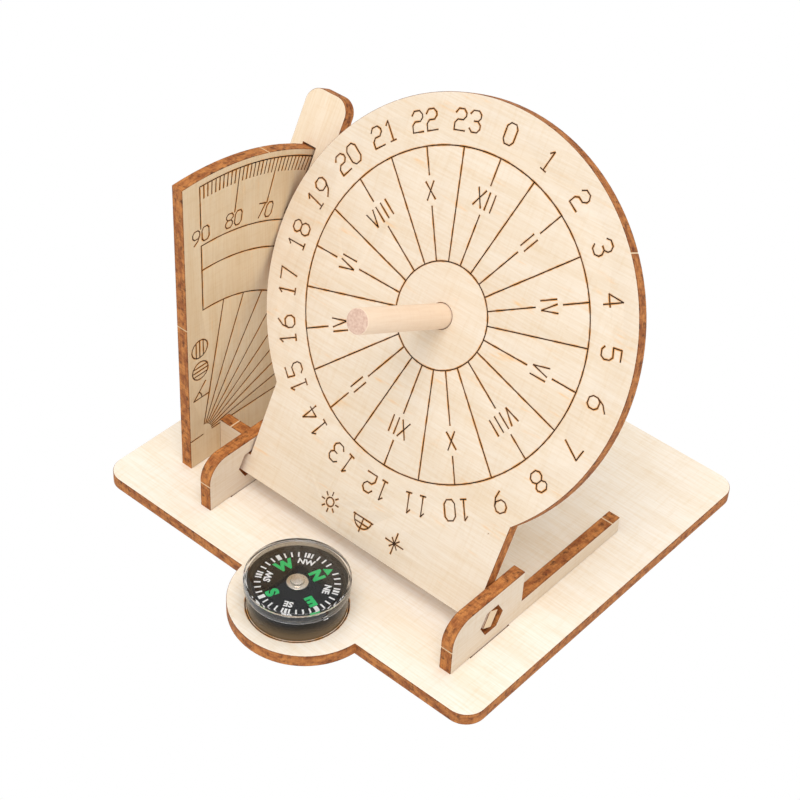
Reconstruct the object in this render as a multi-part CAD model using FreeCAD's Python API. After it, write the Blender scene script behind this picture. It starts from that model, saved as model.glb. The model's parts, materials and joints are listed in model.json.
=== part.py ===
import FreeCAD, Part
import math
import os

# An equatorial sundial cut from thin plywood, with a button compass on a round tab.
# Millimetres, +Z up, +Y to the back. The origin is the middle of the base plate's underside.
# The dial turns on two tenons in the brackets, and its fork straddles the latitude board.

# Plywood and fits
sheet = 2.8                  # plywood thickness
mortise_side_gap = 0.1       # each side of a tenon, across the sheet
mortise_end_gap = 0.4        # each end of a tenon, along the sheet
moving_gap = 0.3             # between plates that move past each other
tenon_swing_gap = 0.4        # between a dial tenon's corners and the flats of its hole
tenon_short = 0.3            # how far a dial tenon stops inside the bracket's outer face

# Base plate
base_width = 100.0
base_depth = 90.0
base_corner = 4.5
tab_radius = 15.5
tab_inset = 2.2              # tab centre, behind the front edge

# Dial
dial_offset = 6.0            # dial centre, right of the base plate's middle
dial_radius = 42.7
foot_width = 61.4
foot_drop = 50.6             # dial centre to the foot's lower edge
dial_tenon_height = 4.1
rest_tilt = 27.0             # degrees back from vertical
pivot_rise = 6.0             # pivot above the base plate's top
pivot_setback = 18.5         # pivot behind the base plate's front edge

# Brackets
bracket_ahead = 11.8         # from the pivot to the front edge
bracket_behind = 9.6         # from the pivot to the back of the tall part
bracket_height = 12.0
bracket_corner = 5.0
tail_length = 32.4
tail_height = 4.0
bracket_tenon = 11.0

# Latitude board, a quadrant about the pivot
board_radius = 65.0
board_ahead = 5.6            # from the pivot to the front edge
board_tenon = 12.0
board_tenon_places = (14.0, 48.0)   # tenon middles, behind the pivot

# Cross brace between the board and the left bracket
brace_height = 8.4
brace_behind = 3.0           # from the pivot to its front face
brace_tenon_share = 0.54     # of the brace's width

# Fork behind the dial
fork_inner_prong = 4.3
fork_outer_prong = 3.0
fork_head = 11.5             # from the slot's closed end to the top
fork_below_centre = 4.0
fork_arc_gap = 0.3           # slot's closed end beyond the board's arc
fork_corner = 3.4

# Gnomon, a dowel through the dial's centre
gnomon_radius = 2.5
gnomon_fit_gap = 0.08
gnomon_front_reach = 27.5
gnomon_back_reach = 14.7
gnomon_chamfer = 0.25

# Button compass
case_radius = 10.15
case_draft = 0.15            # how much narrower the case is at its foot
case_wall = 0.8
case_floor = 1.0
case_height = 5.8
cover_wall = 0.4             # the lip's thickness
cover_lap = 0.4              # how far the lip hangs below the case's rim
cover_seat = 0.4             # width of the cover's wall that rests on the rim
cover_room = 1.1             # clear height inside the cover, over the rim
cover_thickness = 1.1
cover_fit_gap = 0.05
cover_edge = 0.35
boss_radius = 1.8
boss_height = 0.8
needle_radius = 0.4
needle_point = 0.6           # length of the needle's cone
needle_fit_gap = 0.06
card_gap = 0.35              # card's edge to the case's wall
card_thickness = 0.4
cover_gap = 0.5              # top of the hub to the cover
hub_flange_radius = 2.2
hub_flange = 0.4
hub_top_radius = 1.35
hub_top = 0.6
hub_stem_radius = 1.1
hub_roof = 0.35              # metal above the needle's point
magnet_length = 11.0
magnet_width = 3.2
magnet_thickness = 0.9

# Places that follow from the sizes
base_top = sheet
pivot = FreeCAD.Vector(dial_offset, -base_depth / 2 + pivot_setback, base_top + pivot_rise)
pivot_to_centre = foot_drop - dial_tenon_height / 2
bracket_inner = foot_width / 2 + moving_gap
board_face = dial_offset - dial_radius - moving_gap
compass_y = -base_depth / 2      # the compass stands over the front edge's line
case_foot_radius = case_radius - case_draft
cover_radius = case_radius + cover_fit_gap + cover_wall
cover_ceiling = case_height + cover_room
card_height = cover_ceiling - cover_gap - hub_top - hub_flange - card_thickness
up = FreeCAD.Vector(0, 0, 1)
right = FreeCAD.Vector(1, 0, 0)
back = FreeCAD.Vector(0, 1, 0)
overrun = 1.0                # how far a cutting tool runs past the sheet


def outline(corners):
    """A closed wire through (point, radius) corners, each rounded by its radius."""
    edges = []
    ends = []
    count = len(corners)
    for index in range(count):
        point, radius = corners[index]
        to_last = (corners[index - 1][0] - point).normalize()
        to_next = (corners[(index + 1) % count][0] - point).normalize()
        if radius == 0:
            ends.append((point, point))
            continue
        half_angle = to_last.getAngle(to_next) / 2
        reach = radius / math.tan(half_angle)
        middle_line = (to_last + to_next).normalize()
        centre = point + middle_line * (radius / math.sin(half_angle))
        start = point + to_last * reach
        end = point + to_next * reach
        edges.append(Part.Arc(start, centre - middle_line * radius, end).toShape())
        ends.append((start, end))
    for index in range(count):
        leave = ends[index][1]
        arrive = ends[(index + 1) % count][0]
        if leave.distanceToPoint(arrive) > 1e-6:
            edges.append(Part.LineSegment(leave, arrive).toShape())
    return Part.Wire(Part.__sortEdges__(edges))


def plate(corners, thickness):
    """A flat plate from its rounded corners, thickened along a vector."""
    return Part.Face(outline(corners)).extrude(thickness)


def block(low, high):
    """A box between two opposite corners."""
    size = high - low
    return Part.makeBox(size.x, size.y, size.z, low)


def side_point(behind, height):
    """A point beside the pivot: how far behind it, and how high above the base plate's top."""
    return FreeCAD.Vector(0, pivot.y + behind, base_top + height)


def through_base(x_low, x_high, y_low, y_high):
    """A mortise cutter through the base plate."""
    return block(FreeCAD.Vector(x_low, y_low, -overrun),
                 FreeCAD.Vector(x_high, y_high, base_top + overrun))


def tongue(x_low, x_high, y_low, y_high):
    """A tenon that fills the base plate's thickness."""
    return block(FreeCAD.Vector(x_low, y_low, 0), FreeCAD.Vector(x_high, y_high, base_top))


def tenons_in_base():
    """Every tenon in the base plate, as (x low, x high, y low, y high)."""
    left_outer = dial_offset - bracket_inner - sheet
    right_inner = dial_offset + bracket_inner
    half = bracket_tenon / 2
    places = {
        "left_bracket": [(left_outer, left_outer + sheet, pivot.y - half, pivot.y + half)],
        "right_bracket": [(right_inner, right_inner + sheet, pivot.y - half, pivot.y + half)],
        "latitude_board": [],
        "cross_brace": [],
    }
    for behind in board_tenon_places:
        middle = pivot.y + behind
        places["latitude_board"].append((board_face - sheet, board_face,
                                         middle - board_tenon / 2, middle + board_tenon / 2))
    brace_middle = (board_face + left_outer) / 2
    brace_front = pivot.y + brace_behind
    half_brace = (left_outer - board_face) * brace_tenon_share / 2
    places["cross_brace"].append((brace_middle - half_brace, brace_middle + half_brace,
                                  brace_front, brace_front + sheet))
    return places


def with_tongues(shape, name):
    """A plate with its tenons added."""
    for place in tenons_in_base()[name]:
        shape = shape.fuse(tongue(*place))
    return shape.removeSplitter()


def base_plate():
    """The rounded rectangle with the compass tab, cut by a mortise for each tenon."""
    half_width = base_width / 2
    half_depth = base_depth / 2
    corners = [(FreeCAD.Vector(x, y, 0), base_corner)
               for x, y in ((-half_width, -half_depth), (half_width, -half_depth),
                            (half_width, half_depth), (-half_width, half_depth))]
    shape = plate(corners, up * sheet)
    tab_centre = FreeCAD.Vector(dial_offset, -half_depth + tab_inset, 0)
    shape = shape.fuse(Part.makeCylinder(tab_radius, sheet, tab_centre)).removeSplitter()
    for name, places in tenons_in_base().items():
        runs_across = name == "cross_brace"
        x_gap = mortise_end_gap if runs_across else mortise_side_gap
        y_gap = mortise_side_gap if runs_across else mortise_end_gap
        for x_low, x_high, y_low, y_high in places:
            shape = shape.cut(through_base(x_low - x_gap, x_high + x_gap,
                                           y_low - y_gap, y_high + y_gap))
    return shape


def bracket(name, x_low):
    """A cheek with a tall rounded front, a six-sided pivot hole and a low tail."""
    bottom_front = side_point(-bracket_ahead, 0)
    top_front = side_point(-bracket_ahead, bracket_height)
    top_back = side_point(bracket_behind, bracket_height)
    step = side_point(bracket_behind, tail_height)
    tail_top = side_point(bracket_behind + tail_length, tail_height)
    tail_end = side_point(bracket_behind + tail_length, 0)
    corners = [(bottom_front, 0), (top_front, bracket_corner), (top_back, 0),
               (step, 0), (tail_top, 0), (tail_end, 0)]
    shape = plate(corners, right * sheet)
    tenon_corner = math.hypot(sheet, dial_tenon_height) / 2
    hole_corner = (tenon_corner + tenon_swing_gap) / math.cos(math.pi / 6)
    hole_points = []
    for sixth in range(6):
        angle = sixth * math.pi / 3
        hole_points.append((FreeCAD.Vector(0, pivot.y + hole_corner * math.cos(angle),
                                           pivot.z + hole_corner * math.sin(angle)), 0))
    shape = shape.cut(plate(hole_points, right * sheet))
    shape.translate(right * x_low)
    return with_tongues(shape, name)


def latitude_board():
    """The quadrant about the pivot, down to the base plate, with two tenons."""
    front_low = side_point(-board_ahead, 0)
    front_top = FreeCAD.Vector(0, pivot.y - board_ahead,
                               pivot.z + math.sqrt(board_radius ** 2 - board_ahead ** 2))
    arc_middle = pivot + FreeCAD.Vector(0, board_radius, board_radius) * math.sqrt(0.5)
    arc_middle.x = 0
    arc_end = side_point(board_radius, pivot_rise)
    back_low = side_point(board_radius, 0)
    edges = [Part.LineSegment(back_low, front_low), Part.LineSegment(front_low, front_top),
             Part.Arc(front_top, arc_middle, arc_end), Part.LineSegment(arc_end, back_low)]
    face = Part.Face(Part.Wire([edge.toShape() for edge in edges]))
    shape = face.extrude(right * sheet)
    shape.translate(right * (board_face - sheet))
    return with_tongues(shape, "latitude_board")


def cross_brace():
    """The small upright plate that ties the board to the left bracket."""
    low = FreeCAD.Vector(board_face, pivot.y + brace_behind, base_top)
    high = FreeCAD.Vector(dial_offset - bracket_inner - sheet, low.y + sheet,
                          base_top + brace_height)
    return with_tongues(block(low, high), "cross_brace")


def lean(shape):
    """Takes a shape drawn upright about the pivot to the dial's place at rest."""
    shape.rotate(FreeCAD.Vector(0, 0, 0), right, -rest_tilt)
    shape.translate(pivot)
    return shape


def dial_plate():
    """The disc, its foot and the two pivot tenons, drawn upright about the pivot."""
    front = -sheet / 2
    disc = Part.makeCylinder(dial_radius, sheet,
                             FreeCAD.Vector(0, front, pivot_to_centre), back)
    foot = block(FreeCAD.Vector(-foot_width / 2, front, -dial_tenon_height / 2),
                 FreeCAD.Vector(foot_width / 2, front + sheet, pivot_to_centre))
    tenon_reach = bracket_inner + sheet - tenon_short
    tenons = block(FreeCAD.Vector(-tenon_reach, front, -dial_tenon_height / 2),
                   FreeCAD.Vector(tenon_reach, front + sheet, dial_tenon_height / 2))
    hole = Part.makeCylinder(gnomon_radius + gnomon_fit_gap, sheet,
                             FreeCAD.Vector(0, front, pivot_to_centre), back)
    return lean(disc.fuse([foot, tenons]).removeSplitter().cut(hole))


def setting_fork():
    """The strip on the dial's back, with an open slot that runs along the board."""
    slot_right = board_face - dial_offset + moving_gap
    slot_left = board_face - dial_offset - sheet - moving_gap
    low = pivot_to_centre - fork_below_centre
    slot_top = board_radius + fork_arc_gap
    high = slot_top + fork_head
    right_edge = slot_right + fork_inner_prong
    left_edge = slot_left - fork_outer_prong
    front = sheet / 2
    corners = []
    for x, z, radius in ((left_edge, low, 0), (slot_left, low, 0), (slot_left, slot_top, 0),
                         (slot_right, slot_top, 0), (slot_right, low, 0), (right_edge, low, 0),
                         (right_edge, high, fork_corner), (left_edge, high, fork_corner)):
        corners.append((FreeCAD.Vector(x, front, z), radius))
    return lean(plate(corners, back * sheet))


def gnomon_rod():
    """The dowel through the dial, square to its face, with eased ends."""
    length = gnomon_front_reach + sheet + gnomon_back_reach
    start = FreeCAD.Vector(0, -sheet / 2 - gnomon_front_reach, pivot_to_centre)
    rod = Part.makeCylinder(gnomon_radius, length, start, back)
    ends = [edge for edge in rod.Edges if isinstance(edge.Curve, Part.Circle)]
    return lean(rod.makeChamfer(gnomon_chamfer, ends))


def turned(profile):
    """A solid of revolution about the compass axis, from (radius, height) points."""
    points = [FreeCAD.Vector(radius, 0, height) for radius, height in profile]
    points.append(points[0])
    shape = Part.Face(Part.makePolygon(points)).revolve(FreeCAD.Vector(0, 0, 0), up, 360)
    shape.translate(FreeCAD.Vector(dial_offset, compass_y, base_top))
    return shape


def compass_case():
    """The cup that stands on the tab, with a boss that holds the needle."""
    inner = case_radius - case_wall
    boss_top = case_floor + boss_height
    return turned([(0, 0), (case_foot_radius, 0), (case_radius, case_height - cover_lap),
                   (case_radius, case_height), (inner, case_height),
                   (case_foot_radius - case_wall, case_floor), (boss_radius, case_floor),
                   (boss_radius, boss_top), (needle_radius, boss_top),
                   (needle_radius, case_floor), (0, case_floor)])


def compass_cover():
    """The clear lid: a window and a wall that stands on the case's rim, with a lip round it."""
    wall_inner = case_radius - cover_seat
    lip_inner = case_radius + cover_fit_gap
    lip_end = case_height - cover_lap
    top = cover_ceiling + cover_thickness
    return turned([(0, cover_ceiling), (wall_inner, cover_ceiling), (wall_inner, case_height),
                   (lip_inner, case_height), (lip_inner, lip_end), (cover_radius, lip_end),
                   (cover_radius, top - cover_edge), (cover_radius - cover_edge, top), (0, top)])


def needle_tip():
    """Height of the needle's point, just under the hub's roof."""
    return card_height + card_thickness + hub_flange + hub_top - hub_roof - needle_fit_gap


def compass_needle():
    """The steel pin in the boss that carries the card."""
    return turned([(0, case_floor), (needle_radius, case_floor),
                   (needle_radius, needle_tip() - needle_point), (0, needle_tip())])


def compass_card():
    """The printed disc, with a hole for the hub's stem."""
    top = card_height + card_thickness
    rise = (card_height - case_floor) / (case_height - case_floor)
    card_radius = case_foot_radius - case_wall + case_draft * rise - card_gap
    return turned([(hub_stem_radius, card_height), (card_radius, card_height),
                   (card_radius, top), (hub_stem_radius, top)])


def compass_hub():
    """The bright bearing cap: a stem through the card, a flange on it and a blind bore."""
    card_top = card_height + card_thickness
    flange_top = card_top + hub_flange
    top = flange_top + hub_top
    bore = needle_radius + needle_fit_gap
    stem_end = card_height - magnet_thickness
    return turned([(bore, stem_end), (hub_stem_radius, stem_end),
                   (hub_stem_radius, card_top), (hub_flange_radius, card_top),
                   (hub_flange_radius, flange_top), (hub_top_radius, flange_top),
                   (hub_top_radius, top), (0, top), (0, top - hub_roof), (bore, top - hub_roof)])


def compass_magnet():
    """The bar magnet under the card, round the hub's stem."""
    low = card_height - magnet_thickness
    bar = block(FreeCAD.Vector(-magnet_width / 2, -magnet_length / 2, low),
                FreeCAD.Vector(magnet_width / 2, magnet_length / 2, card_height))
    stem_hole = Part.makeCylinder(hub_stem_radius, magnet_thickness, up * low)
    shape = bar.cut(stem_hole)
    shape.translate(FreeCAD.Vector(dial_offset, compass_y, base_top))
    return shape


def main():
    os.makedirs("parts", exist_ok=True)
    nodes = {
        "base_plate": base_plate(),
        "left_bracket": bracket("left_bracket", dial_offset - bracket_inner - sheet),
        "right_bracket": bracket("right_bracket", dial_offset + bracket_inner),
        "latitude_board": latitude_board(),
        "cross_brace": cross_brace(),
        "dial_plate": dial_plate(),
        "setting_fork": setting_fork(),
        "gnomon_rod": gnomon_rod(),
        "compass_case": compass_case(),
        "compass_cover": compass_cover(),
        "compass_needle": compass_needle(),
        "compass_card": compass_card(),
        "compass_hub": compass_hub(),
        "compass_magnet": compass_magnet(),
    }
    for name, shape in nodes.items():
        shape.exportStep("parts/" + name + ".step")
        print(name, len(shape.Solids), "solid", round(shape.Volume, 1), "mm3", shape.isValid())


main()
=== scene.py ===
import json
import math

import bmesh
import bpy
from mathutils import Matrix, Vector, geometry

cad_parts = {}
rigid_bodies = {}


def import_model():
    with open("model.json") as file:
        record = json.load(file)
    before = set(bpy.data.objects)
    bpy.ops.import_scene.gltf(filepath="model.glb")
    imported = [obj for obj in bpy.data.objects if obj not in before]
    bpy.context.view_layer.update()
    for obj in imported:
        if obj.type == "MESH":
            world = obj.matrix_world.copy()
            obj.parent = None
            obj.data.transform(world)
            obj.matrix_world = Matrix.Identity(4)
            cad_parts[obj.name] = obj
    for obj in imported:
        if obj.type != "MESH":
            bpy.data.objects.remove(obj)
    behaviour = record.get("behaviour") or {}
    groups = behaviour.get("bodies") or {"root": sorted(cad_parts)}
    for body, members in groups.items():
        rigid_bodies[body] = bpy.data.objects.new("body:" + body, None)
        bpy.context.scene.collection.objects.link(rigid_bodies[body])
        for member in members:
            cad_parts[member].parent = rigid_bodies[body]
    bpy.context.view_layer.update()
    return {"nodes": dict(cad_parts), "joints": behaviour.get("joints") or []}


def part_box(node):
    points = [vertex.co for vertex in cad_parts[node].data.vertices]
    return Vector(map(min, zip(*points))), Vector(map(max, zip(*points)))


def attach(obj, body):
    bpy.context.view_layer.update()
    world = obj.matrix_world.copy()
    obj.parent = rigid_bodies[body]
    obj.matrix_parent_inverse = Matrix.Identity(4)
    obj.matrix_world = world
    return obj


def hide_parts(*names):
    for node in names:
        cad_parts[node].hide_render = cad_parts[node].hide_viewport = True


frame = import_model()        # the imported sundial, in metres, +Z up, +Y to the back
mm = 0.001

# places read from the frame
joints = {joint["name"]: joint for joint in frame["joints"]}
pivot = Vector(joints["dial_tilt"]["pos_m"])
across, back, up = Vector((1, 0, 0)), Vector((0, 1, 0)), Vector((0, 0, 1))
dialOut = Vector(joints["gnomon_slide"]["axis"]).normalized()    # square to the dial, out of its front
dialUp = dialOut.cross(across)
baseLow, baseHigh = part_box("base_plate")
boardLow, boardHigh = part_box("latitude_board")
leftLow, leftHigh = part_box("left_bracket")
rightLow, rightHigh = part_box("right_bracket")
braceLow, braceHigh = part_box("cross_brace")
gnomonLow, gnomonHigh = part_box("gnomon_rod")
dialLow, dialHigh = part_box("dial_plate")
sheet = baseHigh.z - baseLow.z
dialRadius = (dialHigh.x - dialLow.x) / 2
gnomonMiddle = (gnomonLow + gnomonHigh) / 2
dialMiddle = gnomonMiddle - dialOut * (gnomonMiddle - pivot).dot(dialOut)
compassMiddle = Vector(joints["card_spin"]["pos_m"])


def facePlane(origin, right, above):
    # takes drawing coordinates on a face (x right, y up, z out of it) to their place
    turn = Matrix((right, above, right.cross(above))).transposed().to_4x4()
    return Matrix.Translation(origin) @ turn


dialFace = facePlane(dialMiddle + dialOut * sheet / 2, across, dialUp)
boardFace = facePlane(Vector((boardHigh.x, pivot.y, pivot.z)), back, up)
# the burnt scale sits a little off and askew
askew = Matrix(((1, 0, 0, -1.0 * mm), (0.025, 1, 0, 0.5 * mm), (0, 0, 1, 0), (0, 0, 0, 1)))
scaleFace = boardFace @ askew
compassOrigin = Vector((compassMiddle.x, compassMiddle.y, baseHigh.z))
tabFace = facePlane(compassOrigin, across, back)

camera = {
    "target": Vector((1.9, -11.6, 32.6)) * mm,
    "distance": 384.4 * mm,
    "azimuth": -39.07,
    "elevation": 40.52,
    "roll": 3.34,
    "lens": 87.39,
}


def addCamera():
    azimuth = math.radians(camera["azimuth"])
    elevation = math.radians(camera["elevation"])
    roll = math.radians(camera["roll"])
    ahead = Vector((math.sin(azimuth) * math.cos(elevation),
                    math.cos(azimuth) * math.cos(elevation), -math.sin(elevation)))
    level = ahead.cross(up).normalized()
    above = level.cross(ahead)
    right = level * math.cos(roll) + above * math.sin(roll)
    top = above * math.cos(roll) - level * math.sin(roll)
    data = bpy.data.cameras.new("camera")
    data.lens = camera["lens"]
    data.clip_start = 0.01
    view = bpy.data.objects.new("camera", data)
    view.matrix_world = facePlane(camera["target"] - ahead * camera["distance"], right, top)
    bpy.context.scene.collection.objects.link(view)
    bpy.context.scene.camera = view


# shader building

def newMaterial(name, colour, roughness):
    material = bpy.data.materials.new(name)
    material.use_nodes = True
    shader = material.node_tree.nodes["Principled BSDF"]
    shader.inputs["Base Color"].default_value = (*colour, 1)
    shader.inputs["Roughness"].default_value = roughness
    material.diffuse_color = (*colour, 1)
    return material, shader


def srgb(red, green, blue):
    # a colour as a painter mixes it, 0 to 255, made linear for the shaders
    shades = []
    for value in (red, green, blue):
        share = value / 255
        shades.append(share / 12.92 if share <= 0.04045 else ((share + 0.055) / 1.055) ** 2.4)
    return tuple(shades)


class Builder:
    # short ways to add and link shader nodes in one tree
    def __init__(self, tree):
        self.tree = tree

    def add(self, kind, **values):
        node = self.tree.nodes.new(kind)
        for name, value in values.items():
            setattr(node, name, value)
        return node

    def link(self, source, target):
        self.tree.links.new(source, target)

    def value(self, operation, first, second=0.0, third=0.0):
        node = self.add("ShaderNodeMath", operation=operation)
        for socket, item in zip(node.inputs, (first, second, third)):
            self.feed(item, socket)
        return node.outputs[0]

    def feed(self, item, socket):
        if isinstance(item, bpy.types.NodeSocket):
            self.link(item, socket)
        else:
            socket.default_value = item

    def noise(self, vector, scale, detail=3.0, roughness=0.55):
        node = self.add("ShaderNodeTexNoise")
        self.link(vector, node.inputs["Vector"])
        node.inputs["Scale"].default_value = scale
        node.inputs["Detail"].default_value = detail
        node.inputs["Roughness"].default_value = roughness
        return node.outputs["Fac"]

    def stretch(self, vector, along, acrossGrain, through):
        node = self.add("ShaderNodeVectorMath", operation="MULTIPLY")
        self.link(vector, node.inputs[0])
        node.inputs[1].default_value = (along, acrossGrain, through)
        return node.outputs[0]

    def remap(self, value, low, high, newLow=0.0, newHigh=1.0):
        node = self.add("ShaderNodeMapRange", interpolation_type="SMOOTHSTEP")
        for name, item in (("Value", value), ("From Min", low), ("From Max", high),
                           ("To Min", newLow), ("To Max", newHigh)):
            self.feed(item, node.inputs[name])
        return node.outputs["Result"]

    def mix(self, share, first, second):
        node = self.add("ShaderNodeMix", data_type="RGBA")
        self.feed(share, node.inputs["Factor"])
        for item, name in ((first, "A"), (second, "B")):
            colour = item if isinstance(item, bpy.types.NodeSocket) else (*item, 1)
            self.feed(colour, colourSocket(node, name))
        return node.outputs[2]


def colourSocket(node, name):
    # the colour socket of a Mix node, which has one of each kind under the same name
    return next(socket for socket in node.inputs if socket.name == name and socket.type == "RGBA")


def newGroup(name, inputs, outputs):
    tree = bpy.data.node_groups.new(name, "ShaderNodeTree")
    for socketName, kind, start in inputs:
        socket = tree.interface.new_socket(name=socketName, in_out="INPUT", socket_type=kind)
        if start is not None:
            socket.default_value = start
    for socketName, kind in outputs:
        tree.interface.new_socket(name=socketName, in_out="OUTPUT", socket_type=kind)
    build = Builder(tree)
    return tree, build, build.add("NodeGroupInput"), build.add("NodeGroupOutput")


def makeBoardSpace():
    # object coordinates as along the grain, across it and through the sheet
    tree, build, given, result = newGroup(
        "sheetSpace",
        [("Grain", "NodeSocketVector", (1, 0, 0)), ("Out", "NodeSocketVector", (0, 0, 1)),
         ("Middle", "NodeSocketVector", (0, 0, 0))],
        [("Vector", "NodeSocketVector")])
    place = build.add("ShaderNodeTexCoord").outputs["Object"]
    shifted = build.add("ShaderNodeVectorMath", operation="SUBTRACT")
    build.link(place, shifted.inputs[0])
    build.link(given.outputs["Middle"], shifted.inputs[1])
    side = build.add("ShaderNodeVectorMath", operation="CROSS_PRODUCT")
    build.link(given.outputs["Out"], side.inputs[0])
    build.link(given.outputs["Grain"], side.inputs[1])
    combined = build.add("ShaderNodeCombineXYZ")
    for index, direction in enumerate((given.outputs["Grain"], side.outputs[0], given.outputs["Out"])):
        dot = build.add("ShaderNodeVectorMath", operation="DOT_PRODUCT")
        build.link(shifted.outputs[0], dot.inputs[0])
        build.link(direction, dot.inputs[1])
        build.link(dot.outputs["Value"], combined.inputs[index])
    build.link(combined.outputs[0], result.inputs["Vector"])
    return tree


def makeVeneer():
    # pale rotary-cut veneer: broad bands, fine fibres, short pores and a faint cross ripple
    tree, build, given, result = newGroup(
        "veneerGrain",
        [("Vector", "NodeSocketVector", None), ("Light", "NodeSocketColor", None),
         ("Dark", "NodeSocketColor", None), ("Figure", "NodeSocketFloat", 1.0)],
        [("Color", "NodeSocketColor"), ("Height", "NodeSocketFloat")])
    vector = given.outputs["Vector"]
    band = build.noise(build.stretch(vector, 18, 140, 60), 1.0, 4)
    fibre = build.noise(build.stretch(vector, 110, 2400, 900), 1.0, 3, 0.6)
    ripple = build.noise(build.stretch(vector, 1500, 170, 300), 1.0, 2)
    pore = build.remap(build.noise(build.stretch(vector, 520, 5200, 2000), 1.0, 1), 0.68, 0.8)
    tone = build.value("MULTIPLY_ADD", build.remap(band, 0.35, 0.7), 0.4,
                       build.value("MULTIPLY", build.remap(fibre, 0.3, 0.75), 0.55))
    tone = build.value("ADD", tone, build.value("MULTIPLY", build.remap(ripple, 0.45, 0.75), 0.25))
    tone = build.value("MULTIPLY", build.value("ADD", tone, build.value("MULTIPLY", pore, 0.5)),
                       given.outputs["Figure"])
    colour = build.mix(tone, given.outputs["Light"], given.outputs["Dark"])
    build.link(colour, result.inputs["Color"])
    build.link(build.value("MULTIPLY_ADD", fibre, 0.7, build.value("MULTIPLY", pore, -0.8)),
               result.inputs["Height"])
    return tree


def makeScorch():
    # smoke stain of the laser: soft streaks that run along the grain
    tree, build, given, result = newGroup(
        "smokeStreaks",
        [("Vector", "NodeSocketVector", None), ("Color", "NodeSocketColor", None),
         ("Stain", "NodeSocketColor", None), ("Strength", "NodeSocketFloat", 0.5)],
        [("Color", "NodeSocketColor")])
    vector = given.outputs["Vector"]
    patch = build.remap(build.noise(build.stretch(vector, 90, 330, 10), 1.0, 3), 0.56, 0.78)
    streak = build.remap(build.noise(build.stretch(vector, 160, 1500, 10), 1.0, 2), 0.42, 0.72)
    share = build.value("MULTIPLY", build.value("MULTIPLY", patch, streak), given.outputs["Strength"])
    build.link(build.mix(share, given.outputs["Color"], given.outputs["Stain"]), result.inputs["Color"])
    return tree


def makeChar():
    # the laser-cut edge: mottled browns, beam lines through the sheet, darker glue lines
    tree, build, given, result = newGroup(
        "charredEdge",
        [("Vector", "NodeSocketVector", None), ("Pale", "NodeSocketColor", None),
         ("Brown", "NodeSocketColor", None), ("Black", "NodeSocketColor", None),
         ("Sheet", "NodeSocketFloat", sheet)],
        [("Color", "NodeSocketColor"), ("Height", "NodeSocketFloat")])
    vector = given.outputs["Vector"]
    blotch = build.noise(build.stretch(vector, 360, 360, 700), 1.0, 5, 0.7)
    lines = build.noise(build.stretch(vector, 2600, 2600, 160), 1.0, 2)
    fleck = build.noise(build.stretch(vector, 900, 900, 1100), 1.0, 3, 0.6)
    through = build.add("ShaderNodeSeparateXYZ")
    build.link(vector, through.inputs[0])
    depth = build.value("DIVIDE", build.value("ABSOLUTE", through.outputs[2]), given.outputs["Sheet"])
    glue = build.remap(build.value("ABSOLUTE", build.value("SUBTRACT", depth, 0.2)), 0.0, 0.035, 1.0, 0.0)
    rim = build.remap(depth, 0.40, 0.5)
    brown = build.mix(build.remap(blotch, 0.32, 0.7), given.outputs["Pale"], given.outputs["Brown"])
    burnt = build.value("MULTIPLY", build.remap(fleck, 0.5, 0.74), 0.75)
    burnt = build.value("ADD", burnt, build.value("MULTIPLY", glue, 0.22))
    burnt = build.value("ADD", burnt, build.value("MULTIPLY", rim, 0.45))
    burnt = build.value("ADD", burnt, build.value("MULTIPLY", build.remap(lines, 0.45, 0.75), 0.25))
    colour = build.mix(build.value("MINIMUM", burnt, 1.0), brown, given.outputs["Black"])
    build.link(colour, result.inputs["Color"])
    build.link(build.value("ADD", lines, build.value("MULTIPLY", fleck, 0.6)), result.inputs["Height"])
    return tree


addCamera()
sheetSpace = makeBoardSpace()
veneerGrain = makeVeneer()
smokeStreaks = makeScorch()
charredEdge = makeChar()
print("camera and shader groups ready")

wood = {
    "light": srgb(245, 228, 204),
    "dark": srgb(232, 206, 170),
    "stain": srgb(240, 186, 116),
    "glow": srgb(222, 158, 90),
    "edgePale": srgb(206, 134, 70),
    "edgeBrown": srgb(144, 78, 36),
    "edgeBlack": srgb(74, 38, 18),
    "grooveDark": srgb(44, 28, 16),
    "grooveLight": srgb(98, 60, 30),
    "torn": srgb(240, 214, 178),
}


def placeGroup(build, tree, **values):
    node = build.add("ShaderNodeGroup", node_tree=tree)
    for name, item in values.items():
        if isinstance(item, bpy.types.NodeSocket):
            build.link(item, node.inputs[name])
        elif isinstance(item, (tuple, list)) and len(item) == 3 and node.inputs[name].type == "RGBA":
            node.inputs[name].default_value = (*item, 1)
        else:
            node.inputs[name].default_value = item
    return node


def bump(build, shader, height, strength, distance):
    node = build.add("ShaderNodeBump")
    node.inputs["Strength"].default_value = strength
    node.inputs["Distance"].default_value = distance
    build.link(height, node.inputs["Height"])
    build.link(node.outputs["Normal"], shader.inputs["Normal"])


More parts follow.
